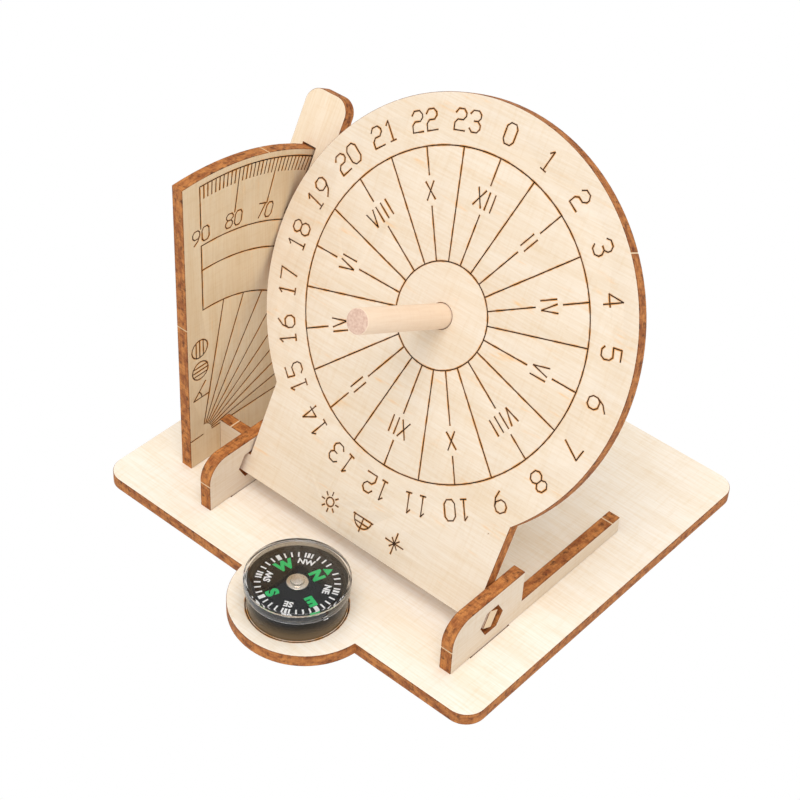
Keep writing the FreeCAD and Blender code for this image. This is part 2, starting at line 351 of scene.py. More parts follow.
def sheetMaterials(name, grain, out, middle, tint, smoke):
    # the five finishes of one cut plate: face, edge, groove, halo and torn wood
    space = {"Grain": tuple(grain), "Out": tuple(out), "Middle": tuple(middle)}
    # the tint scales the veneer colours; for the base it is painted light, for the board and brackets painted
    # shade
    light = tuple(value * share for value, share in zip(wood["light"], tint))
    dark = tuple(value * share for value, share in zip(wood["dark"], tint))
    made = []
    for finish in ("Face", "Edge", "Groove", "Halo", "Torn"):
        material, shader = newMaterial(name + finish, light, 0.62)
        build = Builder(material.node_tree)
        vector = placeGroup(build, sheetSpace, **space).outputs["Vector"]
        shader.inputs["Specular IOR Level"].default_value = 0.3
        if finish in ("Face", "Halo"):
            veneer = placeGroup(build, veneerGrain, Vector=vector, Light=light, Dark=dark, Figure=0.9)
            stained = placeGroup(build, smokeStreaks, Vector=vector, Color=veneer.outputs["Color"],
                                 Stain=wood["stain"], Strength=smoke)
            colour = stained.outputs["Color"]
            if finish == "Halo":
                patch = build.noise(build.stretch(vector, 420, 420, 10), 1.0, 3)
                colour = build.mix(build.remap(patch, 0.34, 0.64, 0.12, 1.0), colour, wood["glow"])
            build.link(colour, shader.inputs["Base Color"])
            bump(build, shader, veneer.outputs["Height"], 0.35, 0.00006)
        if finish == "Edge":
            char = placeGroup(build, charredEdge, Vector=vector, Pale=wood["edgePale"],
                              Brown=wood["edgeBrown"], Black=wood["edgeBlack"], Sheet=sheet)
            build.link(char.outputs["Color"], shader.inputs["Base Color"])
            shader.inputs["Roughness"].default_value = 0.7
            bump(build, shader, char.outputs["Height"], 0.6, 0.0001)
        if finish == "Groove":
            burn = build.remap(build.noise(build.stretch(vector, 230, 230, 10), 1.0, 3), 0.36, 0.66)
            build.link(build.mix(burn, wood["grooveDark"], wood["grooveLight"]), shader.inputs["Base Color"])
            shader.inputs["Roughness"].default_value = 0.85
        if finish == "Torn":
            fibre = build.noise(build.stretch(vector, 900, 900, 900), 1.0, 3)
            build.link(build.mix(fibre, wood["torn"], dark), shader.inputs["Base Color"])
            shader.inputs["Roughness"].default_value = 0.8
        made.append(material)
    return made


# mesh helpers

def newPiece(name, mesh, materials):
    piece = bpy.data.objects.new(name, mesh)
    bpy.context.scene.collection.objects.link(piece)
    for material in materials:
        mesh.materials.append(material)
    return piece


def applyModifiers(piece):
    bpy.context.view_layer.update()
    graph = bpy.context.evaluated_depsgraph_get()
    mesh = bpy.data.meshes.new_from_object(piece.evaluated_get(graph), preserve_all_data_layers=True,
                                           depsgraph=graph)
    old = piece.data
    piece.modifiers.clear()
    piece.data = mesh
    bpy.data.meshes.remove(old)


def shadeByAngle(mesh, limit=35):
    # smooth shading, broken along every edge sharper than the limit in degrees
    work = bmesh.new()
    work.from_mesh(mesh)
    for face in work.faces:
        face.smooth = True
    for edge in work.edges:
        edge.smooth = len(edge.link_faces) == 2 and edge.calc_face_angle(math.pi) < math.radians(limit)
    work.to_mesh(mesh)
    work.free()


def cutPlate(node, name, out, materials, ease=0.09 * mm):
    # a clean copy of a CAD plate, its faces veneer, its cut edges charred and slightly eased
    mesh = frame["nodes"][node].data.copy()
    mesh.materials.clear()
    work = bmesh.new()
    work.from_mesh(mesh)
    bmesh.ops.remove_doubles(work, verts=work.verts, dist=0.001 * mm)
    bmesh.ops.dissolve_limit(work, angle_limit=math.radians(0.5), verts=work.verts, edges=work.edges)
    work.normal_update()
    for face in work.faces:
        face.material_index = 0 if abs(face.normal.dot(out)) > 0.9 else 1
        aside = face.calc_center_median() - pivot
        if node == "dial_plate" and abs(face.normal.x) > 0.95 and aside.yz.length < 3.5 * mm:
            face.material_index = 4
    rims = [edge for edge in work.edges
            if len(edge.link_faces) == 2
            and edge.link_faces[0].material_index != edge.link_faces[1].material_index]
    bmesh.ops.bevel(work, geom=rims, offset=ease, offset_type="OFFSET", segments=1, profile=0.5,
                    affect="EDGES", material=1)
    work.to_mesh(mesh)
    work.free()
    return newPiece(name, mesh, materials)


def meshFrom(work, name):
    mesh = bpy.data.meshes.new(name)
    bmesh.ops.recalc_face_normals(work, faces=work.faces)
    work.to_mesh(mesh)
    work.free()
    return mesh


def cutWith(piece, mesh, materials):
    # takes the cutter's volume away from the piece and gives the cut the cutter's materials
    cutter = newPiece("cutter", mesh, materials)
    tool = piece.modifiers.new("cut", "BOOLEAN")
    tool.operation = "DIFFERENCE"
    tool.solver = "MANIFOLD"
    tool.material_mode = "TRANSFER"
    tool.object = cutter
    applyModifiers(piece)
    bpy.data.objects.remove(cutter)


# the laser's groove: a burnt slot with a shallow scorched shoulder on each side
engraving = {
    "section": ((-0.42, 0.03), (-0.13, -0.03), (-0.08, -0.17), (0.08, -0.17), (0.13, -0.03), (0.42, 0.03)),
    "finish": (1, 0, 0, 0, 1, 1),        # groove or shoulder, side by side of the section
    "runOut": 0.1 * mm,
    "room": 0.93 * mm,                   # strokes nearer than this are cut in separate passes
    "passDeeper": 0.05,
    "sharpTurn": 70,
}


def pointGap(point, start, end):
    span = end - start
    share = min(1, max(0, (point - start).dot(span) / span.length_squared))
    return (point - start - span * share).length


def segmentsClose(first, second):
    (a, b), (c, d) = first, second
    room = engraving["room"]
    for axis in (0, 1):
        before = min(c[axis], d[axis]) - max(a[axis], b[axis])
        after = min(a[axis], b[axis]) - max(c[axis], d[axis])
        if max(before, after) > room:
            return False
    if geometry.intersect_line_line_2d(a, b, c, d):
        return True
    return min(pointGap(a, c, d), pointGap(b, c, d), pointGap(c, a, b), pointGap(d, a, b)) < room


def splitSharp(stroke):
    # a stroke broken where it turns too sharply to be cut in one pass
    if math.dist(stroke[0], stroke[-1]) < 1e-7:
        return [stroke]
    runs = [[stroke[0]]]
    for before, corner, after in zip(stroke, stroke[1:], stroke[2:]):
        runs[-1].append(corner)
        turn = (Vector(corner) - Vector(before)).angle(Vector(after) - Vector(corner))
        if turn > math.radians(engraving["sharpTurn"]):
            runs.append([corner])
    runs[-1].append(stroke[-1])
    return runs


def cuttingPasses(strokes):
    # strokes sorted into passes in which no two come close
    passes = []
    for stroke in [run for stroke in strokes for run in splitSharp(stroke)]:
        points = [Vector(point) for point in stroke]
        pieces = list(zip(points, points[1:]))
        for taken in passes:
            if not any(segmentsClose(new, old) for _, others in taken for old in others for new in pieces):
                taken.append((stroke, pieces))
                break
        else:
            passes.append([(stroke, pieces)])
    return [[stroke for stroke, _ in taken] for taken in passes]


def sweepStroke(work, stroke, deeper):
    closed = len(stroke) > 2 and math.dist(stroke[0], stroke[-1]) < 1e-7
    points = [Vector(point) for point in (stroke[:-1] if closed else stroke)]
    ways = [(after - before).normalized() for before, after in zip(points, points[1:] + points[:1])]
    if not closed:
        points[0] = points[0] - ways[0] * engraving["runOut"]
        points[-1] = points[-1] + ways[-2] * engraving["runOut"]
    rows = []
    for index, point in enumerate(points):
        last = ways[index - 1] if closed or index else ways[0]
        following = ways[index] if closed or index < len(points) - 1 else last
        sides = [Vector((-way.y, way.x)) for way in (last, following)]
        middle = (sides[0] + sides[1]).normalized()
        reach = 1 / max(middle.dot(sides[0]), 0.5)
        rows.append([work.verts.new((*(point + middle * reach * offset * mm), height * deeper * mm))
                     for offset, height in engraving["section"]])
    around = len(engraving["section"])
    for index in range(len(rows) - (0 if closed else 1)):
        here, there = rows[index], rows[(index + 1) % len(rows)]
        for side in range(around):
            corner = (side + 1) % around
            face = work.faces.new((here[side], here[corner], there[corner], there[side]))
            face.material_index = engraving["finish"][side]
    if not closed:
        work.faces.new(rows[0])
        work.faces.new(rows[-1])


def engrave(piece, strokes, place, materials):
    for index, taken in enumerate(cuttingPasses(strokes)):
        work = bmesh.new()
        for stroke in taken:
            sweepStroke(work, stroke, 1 + index * engraving["passDeeper"])
        work.transform(place)
        cutWith(piece, meshFrom(work, "engraving"), [materials[2], materials[3]])
    print(piece.name, "engraved in", index + 1, "passes")


def notch(name, spots, out):
    # torn stubs of the tabs that held a plate in its sheet: (place, way out of the edge)
    piece, materials = plates[name]
    size = Matrix.Diagonal((tabs["depth"], tabs["length"], tabs["width"], 1))
    for spot, away in spots:
        work = bmesh.new()
        bmesh.ops.create_cube(work, size=1.0, matrix=facePlane(spot, away, out) @ size)
        cutWith(piece, meshFrom(work, "notch"), [materials[4]])


# single-stroke numerals, drawn on a box 4 wide and 6 high
glyphs = {
    "0": [[(1, 0), (0, 1.2), (0, 4.8), (1, 6), (3, 6), (4, 4.8), (4, 1.2), (3, 0), (1, 0)]],
    "1": [[(0.9, 4.9), (2, 6), (2, 0)], [(0.9, 0), (3.1, 0)]],
    "2": [[(0, 4.8), (1, 6), (3, 6), (4, 4.9), (4, 4), (3, 3), (1, 3), (0, 2), (0, 0), (4, 0)]],
    "3": [[(0, 5), (1, 6), (3, 6), (4, 5), (4, 4), (3, 3.1), (1.6, 3.1)],
          [(3, 3.1), (4, 2.1), (4, 1), (3, 0), (1, 0), (0, 1)]],
    "4": [[(3, 0), (3, 6), (0, 1.9), (4, 1.9)]],
    "5": [[(3.8, 6), (0.3, 6), (0, 3.4), (3, 3.6), (4, 2.6), (4, 1), (3, 0), (1, 0), (0, 0.8)]],
    "6": [[(0, 2.5), (0, 1), (1, 0), (3, 0), (4, 1), (4, 2.5), (3, 3.5), (1, 3.5), (0, 2.5)],
          [(0, 2.5), (1.2, 4.6), (3.4, 6)]],
    "7": [[(0, 6), (4, 6), (1.6, 0)]],
    "8": [[(1, 3.2), (0, 4.2), (0, 5), (1, 6), (3, 6), (4, 5), (4, 4.2), (3, 3.2), (1, 3.2)],
          [(1, 3.2), (0, 2.2), (0, 1), (1, 0), (3, 0), (4, 1), (4, 2.2), (3, 3.2)]],
    "9": [[(4, 3.5), (4, 5), (3, 6), (1, 6), (0, 5), (0, 3.5), (1, 2.5), (3, 2.5), (4, 3.5)],
          [(4, 3.5), (2.8, 1.4), (0.6, 0)]],
    "I": [[(0.8, 0), (0.8, 6)]],
    "V": [[(0, 6), (1.7, 0), (3.4, 6)]],
    "X": [[(0, 0), (3.6, 6)], [(3.6, 0), (0, 6)]],
}
glyphWidths = {"I": 1.6, "V": 3.4, "X": 3.6}
glyphAspect = 0.88


def ring(radius, steps=120, x=0.0, y=0.0, start=0.0, end=360.0):
    points = []
    for step in range(steps + 1):
        angle = math.radians(start + (end - start) * step / steps)
        points.append((x + radius * math.sin(angle), y + radius * math.cos(angle)))
    return points


def spoke(inner, outer, degrees):
    angle = math.radians(degrees)
    return [(reach * math.sin(angle), reach * math.cos(angle)) for reach in (inner, outer)]


def writeText(text, height, gap=1.5):
    # strokes of a line of numerals, centred on the origin
    unit = height / 6
    widths = [glyphWidths.get(letter, 4.0) for letter in text]
    cursor = -(sum(widths) + gap * (len(text) - 1)) / 2
    strokes = []
    for letter, width in zip(text, widths):
        for stroke in glyphs[letter]:
            strokes.append([((cursor + x) * unit * glyphAspect, (y - 3) * unit) for x, y in stroke])
        cursor += width + gap
    return strokes


def turnStrokes(strokes, degrees, x, y):
    # turned clockwise, then moved
    angle = math.radians(degrees)
    return [[(x + px * math.cos(angle) + py * math.sin(angle), y - px * math.sin(angle) + py * math.cos(angle))
             for px, py in stroke] for stroke in strokes]


def sunMark(size):
    strokes = [ring(size * 0.22, 10)]
    for degrees in range(0, 360, 45):
        strokes.append(spoke(size * 0.33, size * 0.5, degrees))
    return strokes


def domeMark(size):
    # the upper half of a globe on its equator
    strokes = [ring(size * 0.5, 14, y=-size * 0.22, start=-90, end=90)]
    strokes.append([(-size * 0.58, -size * 0.22), (size * 0.58, -size * 0.22)])
    strokes.append([(0, -size * 0.22), (0, size * 0.45)])
    strokes.append([(-size * 0.42, size * 0.05), (size * 0.42, size * 0.05)])
    return strokes


def starMark(size):
    strokes = []
    for degrees in (0, 45, 90, 135):
        reach = size * (0.52 if degrees % 90 == 0 else 0.3)
        strokes.append(spoke(-reach, reach, degrees))
    return strokes


def globeMark(size, upright):
    # a globe with meridians when upright, or with parallels
    strokes = [ring(size * 0.48, 16)]
    for share in (-0.45, 0.0, 0.45):
        half = size * 0.48 * math.sqrt(1 - share ** 2)
        place = size * 0.48 * share
        strokes.append([(place, -half), (place, half)] if upright else [(-half, place), (half, place)])
    return strokes


def angleMark(size):
    return [[(size * 0.45, -size * 0.4), (-size * 0.45, -size * 0.4), (size * 0.3, size * 0.42)],
            ring(size * 0.5, 5, x=-size * 0.45, y=-size * 0.4, start=48, end=86)]


dial = {
    "hourRing": 32.6 * mm,
    "innerRing": 10.55 * mm,
    "numeralRadius": 37.5 * mm,
    "numeralHeight": 4.1 * mm,
    "romanRadius": 24.1 * mm,
    "romanHeight": 3.5 * mm,
    "romanGap": 3.0 * mm,
    "markSpacing": 8.6 * mm,
    "markDrop": 45.7 * mm,
    "markSize": 4.4 * mm,
}
romans = ["XII", "II", "IV", "VI", "VIII", "X"]


def dialStrokes():
    strokes = [ring(dial["hourRing"]), ring(dial["innerRing"], 60)]
    for hour in range(24):
        degrees = hour * 15
        if hour % 2:
            strokes.append(spoke(dial["innerRing"], dial["hourRing"], degrees))
        else:
            strokes.append(spoke(dial["innerRing"], dial["romanRadius"] - dial["romanGap"], degrees))
            strokes.append(spoke(dial["romanRadius"] + dial["romanGap"], dial["hourRing"], degrees))
            x, y = spoke(0, dial["romanRadius"], degrees)[1]
            strokes += turnStrokes(writeText(romans[hour // 2 % 6], dial["romanHeight"], 1.0), degrees, x, y)
        x, y = spoke(0, dial["numeralRadius"], degrees)[1]
        strokes += turnStrokes(writeText(str(hour), dial["numeralHeight"]), degrees, x, y)
    for place, mark in ((-1, sunMark), (0, domeMark), (1, starMark)):
        strokes += turnStrokes(mark(dial["markSize"]), 180, place * dial["markSpacing"], -dial["markDrop"])
    return strokes


board = {
    "tickStart": 62.9 * mm,
    "tick": 3.0 * mm,
    "longTick": 9.7 * mm,
    "numeralRadius": 51.6 * mm,
    "numeralHeight": 3.2 * mm,
    "numeralSpace": 1.3,
    "arcs": (49.1 * mm, 43.2 * mm, 33.4 * mm),
    "fanMiddle": (-1.0 * mm, 1.0 * mm),
    "fanStart": 2.6 * mm,
    "baseline": 0.9 * mm,
    "baselineInset": 1.0 * mm,
    "markHeights": (24.1 * mm, 18.5 * mm, 13.1 * mm),
    "markSize": 4.6 * mm,
    "markAside": 1.2 * mm,
}


def boardStrokes():
    front = boardLow.y - pivot.y + board["baselineInset"]
    fanX, fanY = board["fanMiddle"]
    strokes = [[(front, board["baseline"]), (fanX, board["baseline"])]]
    for radius in (board["tickStart"], *board["arcs"]):
        strokes.append(ring(radius, 48, start=0, end=90))
    for degrees in range(90):
        length = board["tick"] if degrees % 10 else board["longTick"]
        strokes.append(spoke(board["tickStart"] - length, board["tickStart"], degrees))
    for degrees in range(0, 91, 10):
        if degrees:
            start, end = spoke(board["fanStart"], board["arcs"][2], degrees)
            strokes.append([(start[0] + fanX, start[1] + fanY), end])
        if degrees < 90:
            x, y = spoke(0, board["numeralRadius"], degrees)[1]
            text = writeText(str(90 - degrees), board["numeralHeight"], board["numeralSpace"])
            strokes += turnStrokes(text, degrees, x, y)
    for degrees in (0, 90):
        strokes.append(spoke(board["arcs"][2], board["arcs"][0], degrees))
    size = board["markSize"]
    marks = (globeMark(size, True), globeMark(size, False), angleMark(size))
    for mark, height in zip(marks, board["markHeights"]):
        strokes += turnStrokes(mark, 0, -board["markAside"], height)
    return strokes


def makePlates():
    # each plate: node, name, way out of its face, grain, middle, tint of its veneer (which also carries
    # painted light or painted shade), smoke
    plates = {}
    plans = [
        # the base's tint is lighter and paler: painted light on its upward face
        ("base_plate", "basePlate", up, across, (baseLow + baseHigh) / 2, (1.05, 1.14, 1.29), 0.05),
        # the brackets' tints are darker and greyer: painted shade on their sides
        ("left_bracket", "leftBracket", across, back, (leftLow + leftHigh) / 2, (0.88, 0.90, 0.97), 0.1),
        ("right_bracket", "rightBracket", across, back, (rightLow + rightHigh) / 2, (0.90, 0.92, 0.98), 0.1),
        # the board's tint is darker and yellower: painted shade from the dial above it, and partly its own
        # tone
        ("latitude_board", "latitudeBoard", across, up, (boardLow + boardHigh) / 2, (0.84, 0.80, 0.72), 0.6),
        ("cross_brace", "crossBrace", back, across, (braceLow + braceHigh) / 2, (0.92, 0.92, 0.95), 0.2),
        ("dial_plate", "dialPlate", dialOut, across, dialMiddle, (0.94, 0.955, 1.0), 0.9),
        ("setting_fork", "settingFork", dialOut, dialUp, dialMiddle - dialOut * sheet, (1, 1, 1), 0.2),
    ]
    for node, name, out, grain, middle, tint, smoke in plans:
        materials = sheetMaterials(name, grain, out, middle, tint, smoke)
        plates[name] = (cutPlate(node, name, out, materials), materials)
        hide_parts(node)
        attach(plates[name][0], "dial" if node in ("dial_plate", "setting_fork") else "stand")
    return plates


plates = makePlates()
print("plates cut")

compassRing = ring(10.22 * mm, 90)       # burnt guide line round the compass
for name, strokes, place in (("dialPlate", dialStrokes(), dialFace),
                             ("latitudeBoard", boardStrokes(), scaleFace),
                             ("basePlate", [compassRing], tabFace)):
    engrave(plates[name][0], strokes, place, plates[name][1])
print("engraving done")

# where the tabs were on the edges: degrees clockwise from the top, or heights and setbacks
tabs = {
    "depth": 0.2 * mm,
    "length": 1.4 * sheet,
    "width": 0.3 * mm,
    "dialDegrees": (49, 141, -38, -97),
    "boardDegrees": (16, 29, 62),
    "boardHeight": 39.8 * mm,
    "rightHeight": 8.6 * mm,
    "leftHeight": 9.2 * mm,
    "tailHeight": 4 * mm,
    "tailSetback": 2.6 * mm,
    "braceAside": 3.2 * mm,
}


def rimSpots(face, middle, radius, angles):
    spots = []
    for degrees in angles:
        x, y = spoke(0, 1, degrees)[1]
        away = face.to_3x3() @ Vector((x, y, 0))
        spots.append((middle + away * radius, away))
    return spots


def makeNotches():
    boardMiddle = Vector(((boardLow.x + boardHigh.x) / 2, pivot.y, pivot.z))
    boardFront = Vector((boardMiddle.x, boardLow.y, tabs["boardHeight"]))
    notch("latitudeBoard",
          rimSpots(boardFace, boardMiddle, boardHigh.z - pivot.z, tabs["boardDegrees"])
          + [(boardFront, -back)], across)
    notch("dialPlate", rimSpots(dialFace, dialMiddle, dialRadius, tabs["dialDegrees"]), dialOut)
    rightMiddle = (rightLow.x + rightHigh.x) / 2
    tailEnd = Vector((rightMiddle, rightHigh.y - tabs["tailSetback"], sheet + tabs["tailHeight"]))
    notch("rightBracket",
          [(Vector((rightMiddle, rightLow.y, tabs["rightHeight"])), -back), (tailEnd, up)], across)
    notch("leftBracket",
          [(Vector(((leftLow.x + leftHigh.x) / 2, leftLow.y, tabs["leftHeight"])), -back)], across)
    braceCorners = [corner.co for corner in frame["nodes"]["cross_brace"].data.vertices]
    braceTop = max(corner.z for corner in braceCorners if corner.x < braceLow.x + 1 * mm)
    braceSpot = Vector((braceLow.x + tabs["braceAside"], (braceLow.y + braceHigh.y) / 2, braceTop))
    notch("crossBrace", [(braceSpot, up)], back)


makeNotches()
for piece, materials in plates.values():
    shadeByAngle(piece.data)
print("break-out tabs torn")


def turnedMesh(name, points, centre, ease=0.0, steps=96):
    # a closed profile of (radius, height) in mm turned round the vertical through the centre
    work = bmesh.new()
    corners = [work.verts.new((radius * mm, 0, height * mm)) for radius, height in points]
    edges = [work.edges.new(pair) for pair in zip(corners, corners[1:] + corners[:1])]
    edges = [edge for edge in edges if max(corner.co.x for corner in edge.verts) > 1e-9]
    bmesh.ops.spin(work, geom=corners + edges, cent=(0, 0, 0), axis=(0, 0, 1), dvec=(0, 0, 0),
                   angle=math.tau, steps=steps, use_merge=True)
    bmesh.ops.remove_doubles(work, verts=work.verts, dist=0.001 * mm)
    loose = [edge for edge in work.edges if not edge.link_faces]
    bmesh.ops.delete(work, geom=loose, context="EDGES")
    bmesh.ops.recalc_face_normals(work, faces=work.faces)
    if ease:
        sharp = [edge for edge in work.edges
                 if len(edge.link_faces) == 2 and edge.calc_face_angle(0) > math.radians(30)]
        bmesh.ops.bevel(work, geom=sharp, offset=ease, offset_type="OFFSET", segments=3, profile=0.5,
                        affect="EDGES", material=-1)
    work.transform(Matrix.Translation(centre))
    mesh = meshFrom(work, name)
    shadeByAngle(mesh)
    return mesh


gnomon = {
    "segments": 72,
    "ease": 0.22 * mm,
    "light": srgb(243, 220, 195),
    "dark": srgb(228, 196, 164),
    "endLight": srgb(226, 196, 176),
    "endDark": srgb(206, 170, 150),
}


def makeGnomon():
    reach = [corner.co.dot(dialOut) for corner in frame["nodes"]["gnomon_rod"].data.vertices]
    radius = (gnomonHigh.x - gnomonLow.x) / 2
    work = bmesh.new()
    bmesh.ops.create_cone(work, cap_ends=True, segments=gnomon["segments"], radius1=radius, radius2=radius,
                          depth=max(reach) - min(reach))
    rims = [edge for edge in work.edges if abs(edge.verts[0].co.z - edge.verts[1].co.z) < 1e-9]
    bmesh.ops.bevel(work, geom=rims, offset=gnomon["ease"], offset_type="OFFSET", segments=3, profile=0.5,
                    affect="EDGES", material=-1)
    work.normal_update()
    for face in work.faces:
        face.material_index = 1 if abs(face.normal.z) > 0.9 else 0
    middle = dialMiddle + dialOut * ((max(reach) + min(reach)) / 2 - dialMiddle.dot(dialOut))
    work.transform(facePlane(middle, across, dialUp))
    space = {"Grain": tuple(dialOut), "Out": tuple(across), "Middle": tuple(middle)}
    dowel, shader = newMaterial("dowelSide", gnomon["light"], 0.55)
    build = Builder(dowel.node_tree)
    vector = placeGroup(build, sheetSpace, **space).outputs["Vector"]
    grain = placeGroup(build, veneerGrain, Vector=vector, Light=gnomon["light"], Dark=gnomon["dark"],
                       Figure=0.55)
    build.link(grain.outputs["Color"], shader.inputs["Base Color"])
    bump(build, shader, grain.outputs["Height"], 0.3, 0.00005)
    end, shader = newMaterial("dowelEnd", gnomon["endLight"], 0.8)
    build = Builder(end.node_tree)
    vector = placeGroup(build, sheetSpace, **space).outputs["Vector"]
    pores = build.noise(vector, 2200, 3)
    build.link(build.mix(build.remap(pores, 0.3, 0.7), gnomon["endLight"], gnomon["endDark"]),
               shader.inputs["Base Color"])
    bump(build, shader, pores, 0.5, 0.00008)
    mesh = meshFrom(work, "gnomonRod")
    shadeByAngle(mesh)
    rod = newPiece("gnomonRod", mesh, [dowel, end])
    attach(rod, "gnomon")
    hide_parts("gnomon_rod")


makeGnomon()
print("gnomon turned")

# the button compass, heights above the base's top
compass = {
    "lid": ((0, 6.9), (9.95, 6.9), (9.95, 5.8), (10.2, 5.8), (10.2, 5.4), (10.6, 5.4), (10.6, 7.65),
            (10.25, 8.0), (0, 8.0)),
    "smokedWithin": 10.0,
    "smokedHeights": (5.85, 6.85),
    "cup": ((0, 0), (9.88, 0), (10.0, 0.12), (10.13, 4.7), (10.15, 5.4), (10.15, 5.8), (9.35, 5.8),
            (9.2, 1.0), (1.8, 1.0), (1.8, 1.8), (0.4, 1.8), (0.4, 1.0), (0, 1.0)),
    "blackFrom": 4.8,
    "nubDegrees": -16.5,
    "nubPlace": (10.6, 5.75),
    "nubSize": (0.5, 0.7, 1.0),
    "hubFlange": 2.2,
    "hubFlangeHeight": 0.4,
    "hubTop": 1.35,
    "hubBore": 0.46,
    "hubRoof": 0.35,
    "stem": 1.1,
    "north": 71.5,            # degrees round from +X
    "tickOuter": 8.5,
    "tick": 1.3,
    "tickWidth": 0.34,
    "boldWidth": 0.85,
    "tripleWidth": 0.5,
    "letterRadius": {"N": 4.2, "E": 5.5, "S": 5.4, "W": 5.3},
    "letterSize": 3.4,
    "letterBold": 0.2,
    "smallRadius": 5.9,
    "smallSize": 1.9,
    "smallBold": 0.07,
    "arrowRadius": 6.75,
    "arrowSize": 1.15,
    "inkHeight": 0.03,
}
cardLow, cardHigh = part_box("compass_card")
hubLow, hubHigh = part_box("compass_hub")


def compassMaterials():
    made = {}
    for name, tint in (("clear", (1, 1, 1)), ("smoked", (0.14, 0.125, 0.1))):
        clear, shader = newMaterial(name + "Lid", tint, 0.01)
        shader.inputs["Transmission Weight"].default_value = 1.0
        shader.inputs["IOR"].default_value = 1.42
        made[name] = clear
    made["rim"], shader = newMaterial("blackRim", srgb(10, 10, 10), 0.18)
    shader.inputs["Specular IOR Level"].default_value = 0.3
    # the smoky cup carries painted shade: dark towards its top, as if showing the shaded inside, and painted
    # wood colour at its foot, as if showing the base through the wall
    smoky, shader = newMaterial("smokyCupPaintedShade", srgb(40, 36, 30), 0.12)
    build = Builder(smoky.node_tree)
    place = build.add("ShaderNodeSeparateXYZ")
    build.link(build.add("ShaderNodeTexCoord").outputs["Object"], place.inputs[0])
    # painted see-through and painted shade: wood colour near the foot, going dark towards the top
    height = build.remap(place.outputs[2], baseHigh.z, baseHigh.z + 4.4 * mm)
    build.link(build.mix(height, srgb(118, 98, 72), srgb(26, 23, 20)), shader.inputs["Base Color"])
    shader.inputs["Alpha"].default_value = 0.86
    shader.inputs["Specular IOR Level"].default_value = 0.25
    made["smoky"] = smoky
    made["card"], shader = newMaterial("cardInk", srgb(13, 14, 17), 0.6)
    shader.inputs["Specular IOR Level"].default_value = 0.1
    made["white"] = newMaterial("whiteInk", srgb(254, 254, 254), 0.6)[0]
    made["green"] = newMaterial("greenInk", srgb(0, 206, 108), 0.55)[0]
    bright, shader = newMaterial("brightCap", srgb(222, 212, 198), 0.25)
    shader.inputs["Metallic"].default_value = 0.95
    made["bright"] = bright
    steel, shader = newMaterial("pinSteel", srgb(170, 172, 176), 0.3)
    shader.inputs["Metallic"].default_value = 1.0
    made["steel"] = steel
    magnet, shader = newMaterial("barMagnet", srgb(70, 72, 76), 0.45)
    shader.inputs["Metallic"].default_value = 0.8
    made["magnet"] = magnet
    return made


def inkPlace(bearing, radius):
    # a spot on the card at a bearing clockwise from north, its top outward
    angle = math.radians(compass["north"] - bearing)
    away = Vector((math.cos(angle), math.sin(angle), 0))
    origin = Vector((compassOrigin.x, compassOrigin.y, cardHigh.z)) + away * radius * mm
    return facePlane(origin, away.cross(up), away)


def inkBar(width, length, bearing, radius):
    work = bmesh.new()
    size = Matrix.Diagonal((width * mm, length * mm, 2 * compass["inkHeight"] * mm, 1))
    bmesh.ops.create_cube(work, size=1.0, matrix=inkPlace(bearing, radius) @ size)
    return meshFrom(work, "bar")


def inkLetters(text, size, bearing, radius, bold):
    data = bpy.data.curves.new("letters", "FONT")
    data.body = text
    data.size = size * mm
    data.align_x = "CENTER"
    data.align_y = "CENTER"
    data.offset = bold * mm
    data.extrude = compass["inkHeight"] * mm
    data.resolution_u = 3
    holder = bpy.data.objects.new("letters", data)
    bpy.context.scene.collection.objects.link(holder)
    bpy.context.view_layer.update()
    mesh = bpy.data.meshes.new_from_object(holder.evaluated_get(bpy.context.evaluated_depsgraph_get()))
    work = bmesh.new()
    work.from_mesh(mesh)
    bmesh.ops.remove_doubles(work, verts=work.verts, dist=0.001 * mm)
    work.transform(inkPlace(bearing, radius))
    bpy.data.batch_remove((holder, data, mesh))
    return meshFrom(work, "letters")


def cardPrint():
    # each print on the card with its ink: 1 is white, 2 is green
    white, green = 1, 2
    prints = []
    length = compass["tick"]
    middle = compass["tickOuter"] - length / 2
    for bearing in range(0, 360, 5):
        beside = bearing % 90
        if beside in (40, 45, 50) or (bearing % 10 == 0 and beside and abs(beside - 45) > 10):
            width = compass["tripleWidth"] if beside == 45 else compass["tickWidth"]
            prints.append((inkBar(width, length, bearing, middle), white))
    for bearing, letter in ((0, "N"), (90, "E"), (180, "S"), (270, "W")):
        if bearing:
            prints.append((inkBar(compass["boldWidth"], length + 0.15, bearing, middle), white))
        prints.append((inkLetters(letter, compass["letterSize"], bearing, compass["letterRadius"][letter],
                                  compass["letterBold"]), green))
    for bearing, letters in ((45, "NE"), (135, "SE"), (225, "SW"), (315, "NW")):
        prints.append((inkLetters(letters, compass["smallSize"], bearing, compass["smallRadius"],
                                  compass["smallBold"]), white))
    work = bmesh.new()
    size = compass["arrowSize"] * mm
    bmesh.ops.create_cone(work, cap_ends=True, segments=3, radius1=size, radius2=size,
                          depth=2 * compass["inkHeight"] * mm, matrix=inkPlace(0, compass["arrowRadius"]))
    prints.append((meshFrom(work, "arrow"), green))
    return prints


